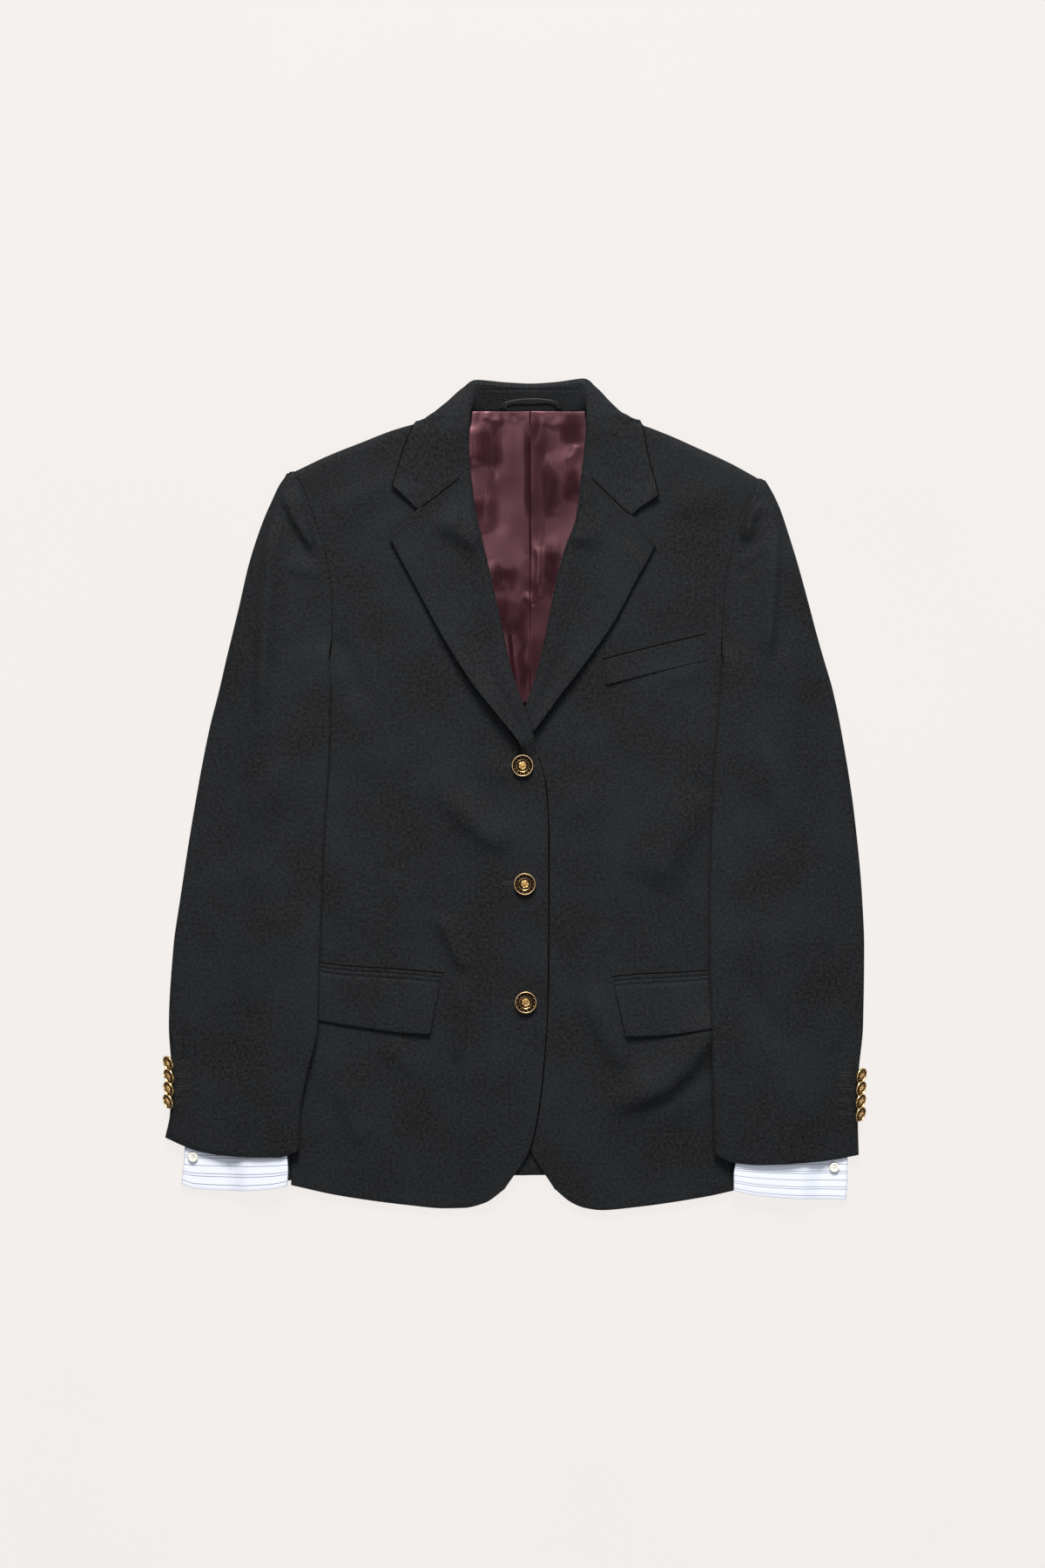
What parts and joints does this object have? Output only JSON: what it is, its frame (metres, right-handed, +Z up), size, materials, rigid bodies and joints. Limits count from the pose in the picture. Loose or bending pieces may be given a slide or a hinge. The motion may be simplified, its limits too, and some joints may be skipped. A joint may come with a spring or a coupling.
{
  "type": "suit jacket",
  "caption": "Single-breasted notch-lapel suit jacket, buttoned and laid flat on its back, with shirt cuffs in the sleeve ends, flap pockets and metal buttons.",
  "frame": {"origin": "under the middle of the jacket's box, on the surface that it lies on", "axes": "+Y from hem to neck, +X towards the wearer's left sleeve, +Z up out of the surface, through the buttons"},
  "size_m": [0.6452, 0.7624, 0.0174],
  "materials": {
    "wool": "matte worsted",
    "lining": "satin",
    "tape": "satin",
    "button_metal": "antique",
    "shirting": "plain weave, striped",
    "pearl": "pearl"
  },
  "bodies": {
    "root": {"back_left": "wool", "back_lining": "lining", "back_right": "wool", "breast_welt": "wool", "collar": "wool", "cuff_button_left_1": "button_metal", "cuff_button_left_2": "button_metal", "cuff_button_left_3": "button_metal", "cuff_button_left_4": "button_metal", "cuff_button_right_1": "button_metal", "cuff_button_right_2": "button_metal", "cuff_button_right_3": "button_metal", "cuff_button_right_4": "button_metal", "front_button_1": "button_metal", "front_button_2": "button_metal", "front_button_3": "button_metal", "front_left": "wool", "front_right": "wool", "hanger_loop": "tape", "lapel_left": "wool", "lapel_right": "wool", "pearl_button_left": "pearl", "pearl_button_right": "pearl", "pocket_flap_left": "wool", "pocket_flap_right": "wool", "pocket_jet_left": "wool", "pocket_jet_right": "wool", "shirt_cuff_left": "shirting", "shirt_cuff_right": "shirting", "side_panel_left": "wool", "side_panel_right": "wool", "top_sleeve_left": "wool", "top_sleeve_right": "wool", "under_sleeve_left": "wool", "under_sleeve_right": "wool"}
  },
  "joints": []
}
